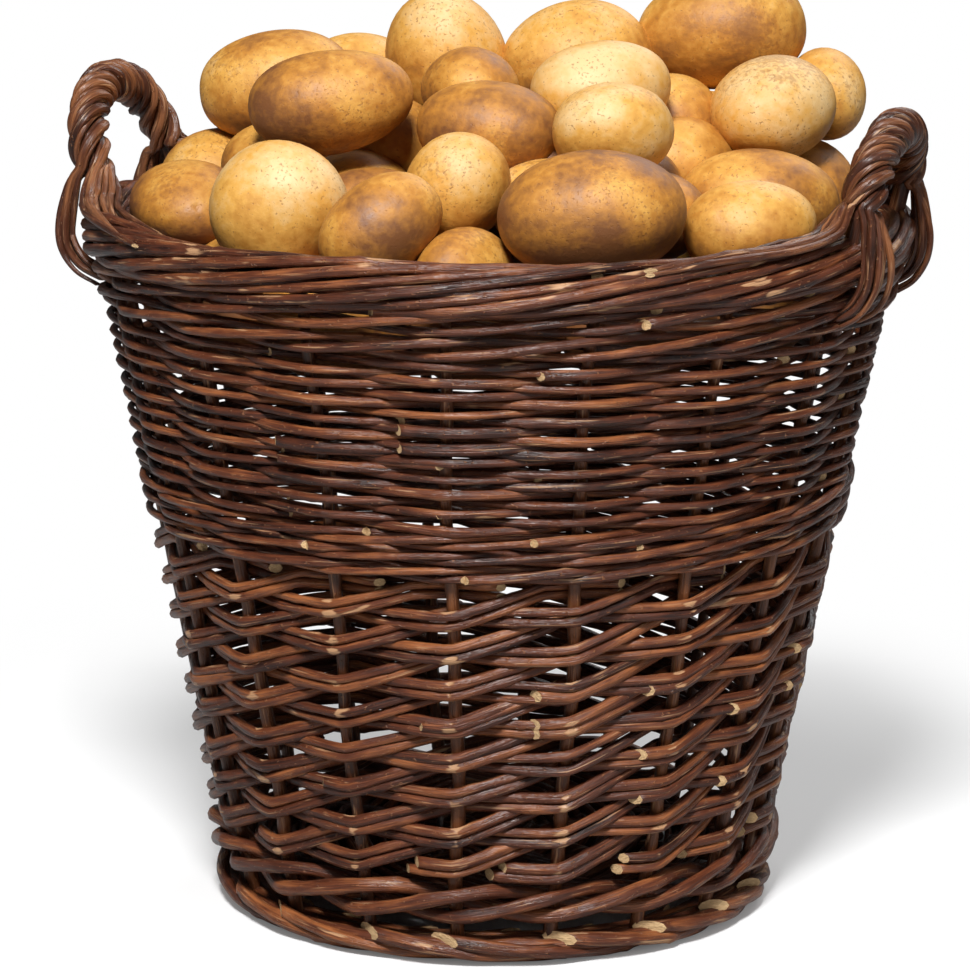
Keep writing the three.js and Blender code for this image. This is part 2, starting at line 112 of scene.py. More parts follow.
def rods(name, path, radius, tone, sides=8, away=None, slant=1.0, fold=0.0):
    """Willow rods along paths, (rod, step, xyz), with a radius at each step.

    A corner is path + radius * swell * (cos(turn) * normal + sin(turn) * side), with the normal pointing
    away from the basket's axis, or the way that away gives. The swell is 1 plus an oval section, a slow
    unevenness, and buds that each stand further round the rod than the last. Both ends are cut on a slant
    that faces outwards: the last few rings lean by slant * radius * cos(turn) along the rod. The attribute
    grain gives the bark its place on the rod, tone is higher on a paler rod, and fold is 1 where a sharp
    bend has cracked the bark.
    """
    count = len(path)
    radius = np.broadcast_to(radius, path.shape[:2])[..., None]
    tangent = unit(np.gradient(path, axis=1))
    away = path * (1, 1, 0) if away is None else away
    normal = unit(away - tangent * np.sum(away * tangent, axis=-1, keepdims=True))
    side = np.cross(tangent, normal)
    turn = np.arange(sides) * 2 * pi / sides
    length = along(path)
    spacing = BUD_SPACING * growth.uniform(*BUD_SPACING_RANGE, (count, 1))
    place = length / spacing + growth.uniform(0, 1, (count, 1))
    number = np.round(place)
    from_bud = (place - number) * spacing
    one_side = (0.5 + 0.5 * np.cos(turn - BUD_TURN * number[..., None])) ** 2
    swell = 1 + BUD_SWELL * np.exp(-(from_bud / BUD_LENGTH) ** 2)[..., None] * one_side
    swell = swell + OVAL * np.cos(2 * turn + growth.uniform(0, 2 * pi, (count, 1, 1)))
    uneven = np.sin(length / UNEVEN_LENGTH + growth.uniform(0, 2 * pi, (count, 1)))
    swell = swell + UNEVEN * uneven[..., None]
    across = np.cos(turn)[:, None] * normal[:, :, None] + np.sin(turn)[:, None] * side[:, :, None]
    lean = np.maximum(0, 1 - length[..., None] / (CUT_LENGTH * radius))
    lean = lean - np.maximum(0, 1 - (length[:, -1:] - length)[..., None] / (CUT_LENGTH * radius))
    shift = slant * radius * lean * np.cos(turn)
    rings = path[:, :, None] + (radius * swell)[..., None] * across + shift[..., None] * tangent[:, :, None]
    mesh = tube_mesh(name, rings)
    grain = np.empty(rings.shape)
    grain[..., 0] = radius * np.cos(turn)
    grain[..., 1] = radius * np.sin(turn)
    start = GRAIN_APART * np.arange(count)[:, None]
    grain[..., 2] = (length + start + growth.uniform(0, GRAIN_SHIFT))[..., None]
    mesh.attributes.new("grain", "FLOAT_VECTOR", "POINT").data.foreach_set("vector", grain.ravel())
    mark(mesh, "tone", np.broadcast_to(np.reshape(tone, (-1, 1, 1)), rings.shape[:3]))
    fold = np.broadcast_to(fold, path.shape[:2])[..., None]
    mark(mesh, "fold", np.broadcast_to(fold, rings.shape[:3]))
    return mesh


class Wire:
    """An output of a shader node. Sums and products of wires and numbers add Math nodes."""

    def __init__(self, tree, socket=None):
        self.tree = tree
        self.socket = socket

    def node(self, kind, settings, sockets, output=0):
        """Adds a node and gives one of its outputs: its settings are set first, and then each socket gets a
        value or a wire."""
        made = self.tree.nodes.new(kind)
        for name, value in settings.items():
            if name == "stops":
                stops = made.color_ramp.elements
                for number, (place, colour) in enumerate(value):
                    stop = stops[number] if number < len(stops) else stops.new(place)
                    stop.position = place
                    stop.color = (*colour, 1)
            else:
                setattr(made, name, value)
        for name, value in sockets.items():
            if isinstance(value, Wire):
                self.tree.links.new(value.socket, made.inputs[name])
            else:
                made.inputs[name].default_value = value
        return Wire(self.tree, made.outputs[output])

    def math(self, operation, first, second):
        return self.node("ShaderNodeMath", {"operation": operation}, {0: first, 1: second})

    def __add__(self, other):
        return self.math("ADD", self, other)

    def __radd__(self, other):
        return self.math("ADD", other, self)

    def __sub__(self, other):
        return self.math("SUBTRACT", self, other)

    def __rsub__(self, other):
        return self.math("SUBTRACT", other, self)

    def __mul__(self, other):
        return self.math("MULTIPLY", self, other)

    def __rmul__(self, other):
        return self.math("MULTIPLY", other, self)


def attribute(wire, name, output):
    """What a mesh keeps under a name, read as a number, Fac, or as a Vector."""
    return wire.node("ShaderNodeAttribute", {"attribute_name": name}, {}, output)


def noise(wire, place, stretch, scale, detail):
    """Noise on a place in metres, stretched by a factor along each axis; scale is spots for each metre."""
    place = wire.node("ShaderNodeMapping", {}, {"Vector": place, "Scale": stretch})
    return wire.node("ShaderNodeTexNoise", {}, {"Vector": place, "Scale": scale, "Detail": detail})


def between(wire, value, low, high):
    """0 below low, 1 above high, a smooth step between."""
    return wire.node("ShaderNodeMapRange", {"interpolation_type": "SMOOTHSTEP"},
                     {"Value": value, "From Min": low, "From Max": high})


def blend(wire, share, first, second):
    """One colour over another, by the share of the second."""
    return wire.node("ShaderNodeMix", {"data_type": "RGBA"}, {0: share, 6: first, 7: second}, 2)


def finish(material, colour, roughness, normal):
    """Puts what varies over a surface on its shader."""
    shader = material.node_tree.nodes["Principled BSDF"]
    for socket, value in (("Base Color", colour), ("Roughness", roughness), ("Normal", normal)):
        material.node_tree.links.new(value.socket, shader.inputs[socket])
    return shader


# Noises of the bark: stretch across the rod, twice, and along it, then spots for each metre, and detail
FIBRES = ((1, 1, 0.05), 1300, 3)
STREAKS = ((1, 1, 0.1), 330, 4)
BLOTCHES = ((1, 1, 0.5), 95, 4)
PORES = ((1, 1, 0.6), 620, 1)
SCUFFS = ((1, 1, 0.16), 210, 2)
SCRATCHES = ((1, 1, 0.045), 800, 2)
WOOD_RINGS = ((1, 1, 0), 900, 2)
PORE_EDGE = (0.66, 0.73)
SCUFF_EDGE = (0.69, 0.76)
SCRATCH_EDGE = (0.62, 0.72)
FOLD_WEAR = 0.19
PORE_SHOWS = 0.5
SCRATCH_SHOWS = 0.52
SCUFF_SHOWS = 0.8
CUT_WOOD = (0.75, 0.53, 0.29, 1)
CUT_WOOD_DARK = (0.42, 0.24, 0.1, 1)
PEELED = (0.55, 0.31, 0.16, 1)
LENTICEL = (0.33, 0.14, 0.06, 1)
BARK_GLOSS = 0.4
BARK_RELIEF = {"Strength": 0.9, "Distance": 0.001}


def willow_bark(name, dark, middle, light, wear):
    """Bark that follows each rod. Its colour runs from dark to light with the rod's tone, blotches, streaks
    and fibres. Over it lie pale breathing pores, fine scratches, scuffs down to the wood, the more of them
    for the wear, and paler cracked bark at the folds."""
    material = bpy.data.materials.new(name)
    material.use_nodes = True
    wire = Wire(material.node_tree)
    grain = attribute(wire, "grain", "Vector")
    tone = attribute(wire, "tone", "Fac")
    cut = attribute(wire, "cut", "Fac")
    fold = attribute(wire, "fold", "Fac")
    fibre = noise(wire, grain, *FIBRES)
    streak = noise(wire, grain, *STREAKS)
    blotch = noise(wire, grain, *BLOTCHES)
    pore = between(wire, noise(wire, grain, *PORES), *PORE_EDGE)
    worn = noise(wire, grain, *SCUFFS) + fold * FOLD_WEAR
    scuff = between(wire, worn, SCUFF_EDGE[0] - wear, SCUFF_EDGE[1] - wear)
    scratch = between(wire, noise(wire, grain, *SCRATCHES), *SCRATCH_EDGE)
    level = tone * 0.6 + blotch * 0.9 + streak * 1.05 + fibre * 0.75 - 1.14
    stops = [(0.05, dark), (0.5, middle), (0.95, light)]
    colour = wire.node("ShaderNodeValToRGB", {"stops": stops}, {"Fac": level})
    colour = blend(wire, pore * PORE_SHOWS, colour, LENTICEL)
    colour = blend(wire, scratch * SCRATCH_SHOWS, colour, PEELED)
    colour = blend(wire, scuff * SCUFF_SHOWS, colour, PEELED)
    wood = blend(wire, noise(wire, grain, *WOOD_RINGS), CUT_WOOD_DARK, CUT_WOOD)
    colour = blend(wire, cut, colour, wood)
    roughness = 0.2 + blotch * 0.26 + cut * 0.4
    height = fibre * 0.8 + streak * 1.2 + pore * 0.5 - scuff * 0.3
    normal = wire.node("ShaderNodeBump", {}, {**BARK_RELIEF, "Height": height})
    shader = finish(material, colour, roughness, normal)
    shader.inputs["Specular IOR Level"].default_value = BARK_GLOSS
    return material


def piece(name, mesh, material, body, slot, *nodes):
    """Puts a mesh into the scene as a piece that rides on a body, in place of any CAD nodes named."""
    made = bpy.data.objects.new(name, mesh)
    bpy.context.scene.collection.objects.link(made)
    mesh.materials.append(material)
    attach(made, body)
    if nodes:
        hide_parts(*nodes)


UP = np.array([0.0, 0.0, 1.0])
BASE_CLEAR = 0.003
STICK_RADIUS = 0.0038
SPOKES = 12
SPOKE_ANGLE = 2 * pi / SPOKES
LASHING_RADIUS = 0.034
LASHING_ROD = 0.0021
LASHING_ROUNDS = 5
CROSS_STEPS = 81
CROSS_TONES = (0.2, 0.7)
STAKE_DARK = (0.04, 0.014, 0.007)
STAKE_BROWN = (0.13, 0.042, 0.015)
STAKE_LIGHT = (0.27, 0.1, 0.032)
STAKE_WEAR = 0.02

base_low, base_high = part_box("base_weave")
base_level = (base_low.z + base_high.z) / 2
base_circle = base_high.x - BASE_CLEAR
reach = np.linspace(-1, 1, CROSS_STEPS)
sticks = []
for number in (-1, 0, 1):
    straight = reach * base_circle * (cos(SPOKE_ANGLE) if number else 1)
    spread = np.maximum(np.abs(straight) - LASHING_RADIUS / 2, 0) * tan(SPOKE_ANGLE)
    sideways = number * (2 * STICK_RADIUS + spread)
    level = np.full(CROSS_STEPS, base_level)
    sticks += [np.stack([straight, sideways, level], -1), np.stack([sideways, straight, level], -1)]
thickness = [STICK_RADIUS] * len(sticks) + [LASHING_ROD] * LASHING_ROUNDS
angle = np.linspace(0, 2 * pi, CROSS_STEPS)
for number in range(LASHING_ROUNDS):
    over = (STICK_RADIUS + LASHING_ROD) * np.cos(2 * angle) * (1 if number % 2 else -1)
    sticks.append(about_axis(LASHING_RADIUS - 2 * LASHING_ROD * number, angle, base_level + over))
stick_tone = growth.uniform(*CROSS_TONES, len(sticks))
stake_bark = willow_bark("willow_stake_bark", STAKE_DARK, STAKE_BROWN, STAKE_LIGHT, STAKE_WEAR)
radius = np.array(thickness)[:, None]
cross = rods("base_cross_sticks", np.array(sticks), radius, stick_tone, away=UP, slant=0)
piece("base_cross_sticks", cross, stake_bark, "basket", "stake_bark", "base_cross")


# Base weave. The disc inside the foot: two willow rods paired round and round the twelve spokes, one over a
# spoke while the other goes under it.

ROD_RADIUS = 0.0023
BASE_PITCH = 0.0047
BASE_PRESS = 0.0006
SPOKE_STEPS = 12
DISC_TONES = (0.35, 0.5)
DARK_BARK = (0.022, 0.008, 0.006)
RED_BARK = (0.115, 0.032, 0.014)
ORANGE_BARK = (0.34, 0.115, 0.038)


def over_under(stroke, sharpness=0.97):
    """1 at even strokes, -1 at odd ones, nearly straight between: arcsin(sharpness * cos(pi * stroke)),
    scaled to reach both."""
    return np.arcsin(sharpness * np.cos(pi * stroke)) / np.arcsin(sharpness)


turns = (base_circle - LASHING_RADIUS) / (2 * BASE_PITCH) - 0.5
spoke = np.linspace(0, SPOKES * turns, int(SPOKES * turns * SPOKE_STEPS))
rod = np.array([[0.0], [1.0]])
circle = LASHING_RADIUS + ROD_RADIUS + BASE_PITCH * (rod + 2 * spoke / SPOKES)
level = base_level + (STICK_RADIUS + ROD_RADIUS - BASE_PRESS) * over_under(spoke + rod)
disc = rods("base_disc", about_axis(circle, spoke * SPOKE_ANGLE, level), ROD_RADIUS, DISC_TONES, away=UP)
weaver_bark = willow_bark("willow_weaver_bark", DARK_BARK, RED_BARK, ORANGE_BARK, 0.0)
piece("base_disc", disc, weaver_bark, "basket", "willow_bark", "base_weave")


# Stakes. Eighteen upright willow rods that the wall is woven on, butts down in the foot and tips under the
# border. They are thicker than the weavers, and stand a little out of true.

WALL = 0.018
WALE_PROUD = 0.0015
STAKES = 18
STAKE_STEP = 2 * pi / STAKES
STAKE_BUTT = 0.0036
STAKE_TIP = 0.003
STAKE_WANDER = 0.0014
STAKE_WAVES = (24, 61)
STAKE_STEPS = 60
STAKE_TONES = (0.1, 0.7)
THICK_SIDES = 10

foot_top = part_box("foot_wale")[1]
middle_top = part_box("middle_wale")[1]
flare = (middle_top.x - foot_top.x) / (middle_top.z - foot_top.z)


def wall_middle(level):
    """The middle of the wall's thickness: the cone through the tops of the two wales, less half the wall."""
    return foot_top.x - WALE_PROUD + flare * (level - foot_top.z) - WALL / 2


def on_wall(stroke, level, depth):
    """A point of the wall: stroke counts stakes round it, depth is measured outwards from its middle."""
    return about_axis(wall_middle(level) + depth, stroke * STAKE_STEP, level)


for number in range(STAKES):
    node = f"stake_{number + 1:02d}"
    low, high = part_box(node)
    level = np.linspace(low.z, high.z, STAKE_STEPS)[None]
    slow, quick = (np.sin(level * waves + growth.uniform(0, 6)) for waves in STAKE_WAVES)
    wander = STAKE_WANDER * (slow + 0.5 * quick) / wall_middle(level) / STAKE_STEP
    path = on_wall(number + wander, level, 0)
    taper = np.linspace(STAKE_BUTT, STAKE_TIP, STAKE_STEPS)
    stake = rods(f"willow_{node}", path, taper, growth.uniform(*STAKE_TONES), THICK_SIDES)
    piece(f"willow_{node}", stake, stake_bark, "basket", "stake_bark", node)


# Foot wale. One loose round of a three-rod wale in the thickest rods, which locks the stakes above the foot.
# Each rod passes in front of two stakes and behind the third, and dark gaps show over and under them.

FOOT_WALE_ROD = 0.0035
FOOT_WALE_CLIMB = 0.65
FOOT_WALE_TONES = (0.25, 0.85)
WALE_RODS = 3
WALE_CLIMB = 1.1
WALE_HOLD = 0.75
WALE_DRIFT = 0.25
WALE_BUTT = 1.12
WALE_TAPER = 0.24
WALE_SIZES = (0.92, 1.08)
WALE_STEPS = 235


def drift(stroke, reach, together=1):
    """A slow wander along each rod, up to reach either way: two sine waves with phases of the rod's own, or
    shared by as many rods as lie together."""
    phase = np.repeat(growth.uniform(0, 2 * pi, (2, len(stroke) // together, 1)), together, axis=1)
    return reach * (0.65 * np.sin(0.8 * stroke + phase[0]) + 0.35 * np.sin(2.1 * stroke + phase[1]))


def wale(low, high, rounds, radius, climb=WALE_CLIMB):
    """Paths and radii of a three-rod wale between two levels.

    Rod m of a round is in front of two stakes and behind one: depth = A * (4/3 cos(t) + 1/3), held back past
    1, with t = 2 pi (stroke + m - 1/2) / 3. It climbs by R * sin(t) from the first of the two to the second.
    A is a stake's radius plus the rod's, and R is climb * (half the round's height - the rod's radius).
    """
    rod = np.arange(WALE_RODS * rounds)[:, None]
    stroke = np.linspace(0, STAKES, WALE_STEPS) + growth.uniform(0, STAKES, rod.shape)
    phase = 2 * pi * (stroke + rod - 0.5) / WALE_RODS
    depth = 4 / 3 * np.cos(phase) + 1 / 3
    depth = (STAKE_BUTT + radius) * (depth - WALE_HOLD * np.maximum(depth - 1, 0))
    pitch = (high - low) / rounds
    level = low + pitch * (rod // WALE_RODS + 0.5) + (pitch / 2 - radius) * climb * np.sin(phase)
    level = level + drift(stroke, radius * WALE_DRIFT)
    taper = radius * (WALE_BUTT - WALE_TAPER * np.linspace(0, 1, WALE_STEPS))
    return on_wall(stroke, level, depth), taper * growth.uniform(*WALE_SIZES, rod.shape)


low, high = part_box("foot_wale")
path, taper = wale(low.z, high.z, 1, FOOT_WALE_ROD, FOOT_WALE_CLIMB)
foot_wale = rods("foot_wale_rods", path, taper, growth.uniform(*FOOT_WALE_TONES, len(path)), THICK_SIDES)
piece("foot_wale_rods", foot_wale, weaver_bark, "basket", "willow_bark", "foot_wale")


# Lower weave. A French rand in pairs: a pair of rods starts at every stake and climbs one course from stake
# to stake, in front of one and behind the next. It bends sharply down over the stake that it passes in
# front of. Where a rod runs out, a new butt is laid in, and its cut end shows outside.

PAIR_STROKES = 15
PAIR_TOP = 0.6
PAIR_KINK = 0.44
PAIR_UNEVEN = 0.1
PAIR_GAP = 0.0027
PAIR_LIFT = 0.58
PAIR_SHARPNESS = 0.99
PAIR_DRIFT = 0.0016
PAIR_STEPS = 150
PAIR_LAID_IN = (2, 6)
PAIR_TONES = (0.1, 0.95)
BUTT_RADIUS = 0.003
TIP_RADIUS = 0.0026
BUTT_SIZES = (0.85, 1.12)
BUTT_ENDS = (0.3, 0.95)
BUTT_LEAD = 0.3
TIP_RUN = 0.9
LAST_RUN = 0.4
ROD_DRIFT = 0.0005
DEPTH_DRIFT = 0.0006
LAY_OUT = 0.002
LAY_OUT_REACH = 0.3
FOLD_REACH = 0.06

low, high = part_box("lower_weave")
pair = np.repeat(np.arange(STAKES), 2)
upper_rod = np.tile([-1.0, 1.0], STAKES)[:, None]
course = (high.z - low.z - 4 * ROD_RADIUS) / (PAIR_STROKES + PAIR_TOP)
laid_in = 2 * growth.integers(*PAIR_LAID_IN, len(pair))
first_rods = (-growth.uniform(*BUTT_ENDS, len(pair)), laid_in + TIP_RUN, 0)
second_rods = (laid_in - BUTT_LEAD, np.full(len(pair), PAIR_STROKES + LAST_RUN), 1)
share = np.linspace(0, 1, PAIR_STEPS)
parts = []
for begin, stop, out in (first_rods, second_rods):
    stroke = begin[:, None] + (stop - begin)[:, None] * share
    swing = over_under(stroke, PAIR_SHARPNESS)
    kink = PAIR_KINK + drift(1.7 * stroke, PAIR_UNEVEN, 2)
    level = low.z + 2 * ROD_RADIUS + course * (stroke + PAIR_LIFT - kink * swing)
    level = level + drift(stroke, PAIR_DRIFT, 2) + drift(stroke, ROD_DRIFT)
    level = np.minimum(level, high.z - PAIR_GAP - BUTT_RADIUS) + upper_rod * PAIR_GAP
    depth = (STAKE_BUTT + ROD_RADIUS) * swing + drift(stroke, DEPTH_DRIFT)
    depth = depth + out * LAY_OUT * np.exp(-(stroke - begin[:, None]) / LAY_OUT_REACH)
    taper = BUTT_RADIUS + (TIP_RADIUS - BUTT_RADIUS) * share
    taper = taper * growth.uniform(*BUTT_SIZES, (len(pair), 1))
    fold = np.exp(-((stroke - 2 * np.round(stroke / 2)) / FOLD_REACH) ** 2)
    parts.append((on_wall(pair[:, None] + stroke, level, depth), taper, fold))
path, taper, fold = (np.concatenate(arrays) for arrays in zip(*parts))
lower_weave = rods("lower_weave_pairs", path, taper, growth.uniform(*PAIR_TONES, len(path)), fold=fold)
piece("lower_weave_pairs", lower_weave, weaver_bark, "basket", "willow_bark", "lower_weave")


# Middle wale. Three rounds of a three-rod wale in thinner rods, which hold the lower weave down. It is laid
# against the top of the lower weave and beaten down with it.

MIDDLE_WALE_ROD = 0.0022
MIDDLE_WALE_ROUNDS = 3
MIDDLE_WALE_TONES = (0.1, 0.8)

low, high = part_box("middle_wale")
path, taper = wale(low.z, high.z, MIDDLE_WALE_ROUNDS, MIDDLE_WALE_ROD)
middle_wale = rods("middle_wale_rods", path, taper, growth.uniform(*MIDDLE_WALE_TONES, len(path)))
piece("middle_wale_rods", middle_wale, weaver_bark, "basket", "willow_bark", "middle_wale")


# Upper weave. Plain randing: single rods go in front of one stake and behind the next, each round the other
# way about. The rods taper, so rounds wander and leave small gaps. Two rounds of wale close it under the
# border.

ROUNDS = 21
RAND_BUTT = 0.0025
RAND_TIP = 0.0019
RAND_SIZES = (0.88, 1.15)
RAND_SHARPNESS = 0.93
RAND_DRIFT = 0.0014
RAND_LAID_IN = (3, 7)
RAND_LEAD = 0.35
RAND_LAP = 1.3
RAND_TONES = (0.0, 0.75)
TOP_WALE = 0.022
TOP_WALE_PRESS = 0.004
TOP_WALE_ROD = 0.0027
TOP_WALE_ROUNDS = 2

low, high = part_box("upper_weave")
pitch = (high.z - low.z - TOP_WALE) / ROUNDS
number = np.repeat(np.arange(ROUNDS), 2)[:, None]
second = np.tile([0, 1], ROUNDS)[:, None]
begin = np.repeat(growth.integers(0, STAKES, ROUNDS), 2)[:, None] + number % 2
laid_in = np.repeat(2 * growth.integers(*RAND_LAID_IN, ROUNDS), 2)[:, None]
share = np.linspace(0, 1, WALE_STEPS)
start = begin + second * laid_in - RAND_LEAD
length = np.where(second == 1, STAKES - laid_in, laid_in) + RAND_LAP
stroke = start + length * share
swing = over_under(stroke + number, RAND_SHARPNESS)
depth = (STAKE_BUTT + ROD_RADIUS) * swing + LAY_OUT * np.exp(-(stroke - start) / LAY_OUT_REACH)
level = low.z + pitch * (number + 0.5) + drift(stroke, RAND_DRIFT)
taper = (RAND_BUTT + (RAND_TIP - RAND_BUTT) * share) * growth.uniform(*RAND_SIZES, number.shape)
wale_path, wale_taper = wale(high.z - TOP_WALE, high.z + TOP_WALE_PRESS, TOP_WALE_ROUNDS, TOP_WALE_ROD)
path = np.concatenate([on_wall(stroke, level, depth), wale_path])
taper = np.concatenate([taper, wale_taper])
upper_weave = rods("upper_weave_rods", path, taper, growth.uniform(*RAND_TONES, len(path)))
piece("upper_weave_rods", upper_weave, weaver_bark, "basket", "willow_bark", "upper_weave")


# Top border. The stakes' tips and a bye-rod beside each are bent down to the right and rolled into the rim:
# each comes out from under it, climbs over its outer face and turns in over the top.

BORDER_WIDTH = 0.024
BORDER_ROD = 0.0028
BORDER_RODS = 28
BORDER_START = radians(-80)
BORDER_ROLL = radians(260)
BORDER_SWEEP = radians(98)
BORDER_PROUD = (-0.0022, 0.0006)
BORDER_BUTT = 1.15
BORDER_TAPER = 0.0007
BORDER_SIZES = (0.85, 1.12)
BORDER_STEPS = 70
BORDER_FILL = 2
BORDER_FILL_ROD = 0.004
BORDER_FILL_SPREAD = 0.005
BORDER_TONES = (0.0, 0.6)
BORDER_WEAR = 0.06


def filling(circle, level, count, spread):
    """Rods inside a rolled border: rings side by side, spread either way from its middle."""
    angle = np.linspace(0, 2 * pi, BORDER_STEPS) + np.arange(count)[:, None]
    return about_axis(circle + spread * np.linspace(-1, 1, count)[:, None], angle, level)


low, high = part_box("top_border")
border_level = (low.z + high.z) / 2
border_circle = high.x - BORDER_WIDTH / 2
border_rise = (high.z - low.z) / 2
rod = np.arange(BORDER_RODS)[:, None]
share = np.tile(np.linspace(0, 1, BORDER_STEPS), (BORDER_RODS, 1))
roll = BORDER_START + BORDER_ROLL * share + drift(6 * share, 0.12)
angle = 2 * pi / BORDER_RODS * rod + BORDER_SWEEP * share
proud = growth.uniform(*BORDER_PROUD, rod.shape) + drift(9 * share, 0.0012)
circle = border_circle + (BORDER_WIDTH / 2 - BORDER_ROD + proud) * np.cos(roll)
level = border_level + (border_rise - BORDER_ROD + proud) * np.sin(roll)
taper = (BORDER_ROD * BORDER_BUTT - BORDER_TAPER * share) * growth.uniform(*BORDER_SIZES, rod.shape)
inner = filling(border_circle, border_level, BORDER_FILL, BORDER_FILL_SPREAD)
path = np.concatenate([about_axis(circle, angle, level), inner])
taper = np.concatenate([taper, np.full((BORDER_FILL, BORDER_STEPS), BORDER_FILL_ROD)])
top_border = rods("top_border_rods", path, taper, growth.uniform(*BORDER_TONES, len(path)), THICK_SIDES)
border_bark = willow_bark("willow_border_bark", DARK_BARK, RED_BARK, ORANGE_BARK, BORDER_WEAR)
piece("top_border_rods", top_border, border_bark, "basket", "willow_bark", "top_border")


# Foot border. The thick butts of the stakes are turned outwards and down to the right and rolled under, so
# that the basket stands on them. Their slanted cut ends show round the foot.

FOOT_ROD = 0.0041
FOOT_WIDTH = 0.03
FOOT_START = radians(48)
FOOT_ROLL = radians(235)
FOOT_SWEEP = radians(72)
FOOT_UNEVEN = (-0.15, 0.15)
FOOT_TAPER = 0.15
FOOT_SIZES = (0.9, 1.0)
FOOT_END_PROUD = 0.003
FOOT_END_REACH = 0.12
FOOT_END_SLANT = 2.2
FOOT_FILL = 3
FOOT_FILL_SPREAD = 0.007
FOOT_TONES = (0.3, 0.95)

low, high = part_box("foot_border")
foot_level = (low.z + high.z) / 2
foot_circle = high.x - FOOT_WIDTH / 2
foot_rise = (high.z - low.z) / 2
rod = np.arange(STAKES)[:, None]
share = np.tile(np.linspace(0, 1, BORDER_STEPS), (STAKES, 1))
roll = FOOT_START - FOOT_ROLL * share + drift(4 * share, 0.1)
angle = STAKE_STEP * (rod + growth.uniform(*FOOT_UNEVEN, rod.shape)) + FOOT_SWEEP * share
proud = FOOT_END_PROUD * np.exp(-share / FOOT_END_REACH)
circle = foot_circle + (FOOT_WIDTH / 2 - FOOT_ROD + proud) * np.cos(roll)
level = foot_level + (foot_rise - FOOT_ROD) * np.sin(roll)
taper = FOOT_ROD * (1 - FOOT_TAPER * share) * growth.uniform(*FOOT_SIZES, rod.shape)
inner = filling(foot_circle, foot_level, FOOT_FILL, FOOT_FILL_SPREAD)
path = np.concatenate([about_axis(circle, angle, level), inner])
taper = np.concatenate([taper, np.full((FOOT_FILL, BORDER_STEPS), FOOT_ROD)])
foot_tone = growth.uniform(*FOOT_TONES, len(path))
foot_border = rods("foot_border_rods", path, taper, foot_tone, THICK_SIDES, slant=FOOT_END_SLANT)
piece("foot_border_rods", foot_border, border_bark, "basket", "willow_bark", "foot_border")


# Handle bows. Each handle has a core, a thick willow rod bent into an arch. Its two legs are pushed down
# into the weave of the wall, each a little inside a stake.

LEG_BESIDE = 0.019
LEG_DEPTH = 0.06
LEG_RISE = 0.01825
ARCH_SHARE = 0.75
ARCH_STEPS = 60
BOW_RADIUS = 0.0042
BOW_TONE = 0.4
BOW_STEPS = 90
BOW_SIDES = 12
ROPE_DARK = (0.022, 0.008, 0.005)
ROPE_BROWN = (0.085, 0.026, 0.012)
ROPE_LIGHT = (0.26, 0.1, 0.04)
ROPE_WEAR = 0.03
# A handle's side, the way that it faces, its rise over the border and its lean outwards
LEFT_HANDLE = ("left", pi, 0.055, 0.016)
RIGHT_HANDLE = ("right", 0.0, 0.048, 0.009)
HANDLES = (LEFT_HANDLE, RIGHT_HANDLE)

handle_half = STAKE_STEP - LEG_BESIDE / wall_middle(border_level)
leg_top = border_level + LEG_RISE


def leg_points(facing, level):
    """A point on each of a handle's two legs, at a level of the wall."""
    return on_wall(np.array([facing - handle_half, facing + handle_half]) / STAKE_STEP, level, 0)


def handle_arch(facing, rise, lean, steps):
    """The bow's middle line over the wall: a cubic curve between the legs' tops, pulled up and outwards."""
    share = np.linspace(0, 1, steps)[:, None]
    first, last = leg_points(facing, leg_top)
    up = border_level + border_rise + rise - leg_top
    pull = np.array([lean * cos(facing), lean * sin(facing), up]) / ARCH_SHARE
    curve = (1 - share) ** 3 * first + 3 * (1 - share) ** 2 * share * (first + pull)
    return curve + 3 * (1 - share) * share ** 2 * (last + pull) + share ** 3 * last


def respaced(path, steps):
    """The same path with its points evenly spaced along it."""
    length = along(path[None])[0]
    even = np.linspace(0, length[-1], steps)
    return np.stack([np.interp(even, length, path[:, axis]) for axis in range(3)], -1)


rope_bark = willow_bark("willow_rope_bark", ROPE_DARK, ROPE_BROWN, ROPE_LIGHT, ROPE_WEAR)
for name, facing, rise, lean in HANDLES:
    feet = leg_points(facing, leg_top - LEG_DEPTH)
    arch = handle_arch(facing, rise, lean, ARCH_STEPS)
    path = respaced(np.concatenate([feet[:1], arch, feet[1:]]), BOW_STEPS)
    outward = np.array([cos(facing), sin(facing), 0.0])
    bow = rods(f"{name}_bow_rod", path[None], BOW_RADIUS, BOW_TONE, BOW_SIDES, away=outward)
    piece(f"{name}_bow_rod", bow, rope_bark, "basket", "rope_bark", f"{name}_handle_bow")


# Handle strands. Four strands of three willow rods each are twisted round the bow like a rope. At the
# handle's feet some go over the border and down its outside, and the others lie along the border until they
# are tucked in.

STRANDS = 4
STRAND_RODS = 3
STRAND_RADIUS = 0.0021
STRAND_SHARES = (0.9, 1.25, 0.9)
STRAND_LAY = radians(22)
STRAND_CROWN = 0.0018
STRAND_SLANT = 2.0
STRAND_STEPS = 230
STRAND_TONES = (0.0, 1.0)
SPAN_STEPS = 12
LAY_DRIFT = 0.06
RING_DRIFT = 0.0005
HELIX_RADIUS = 0.0072
HELIX_TURNS = 3.5
HELIX_START = 0.06
HELIX_EASE = 0.35
HELIX_STRIDE = 5
SPINE_STEPS = 240
FINE_STEPS = 400
TIP_LENGTH = 0.04
TIP_SHARE = 0.6
# Tails that go down the outside: their layers on the border, the turns round it, and how far they bulge
TAIL_LAYER = 0.0037
TAIL_PRESS = 0.001
TAIL_HEAD = 0.007
TAIL_DROP = 0.011
TAIL_TURNS = (15, -20, -52, -85)
TAIL_RUN = 0.0035
TAIL_SLIDES = (-0.3, 1.3)
TAIL_BULGE = {"left": 0.005, "right": 0.0}
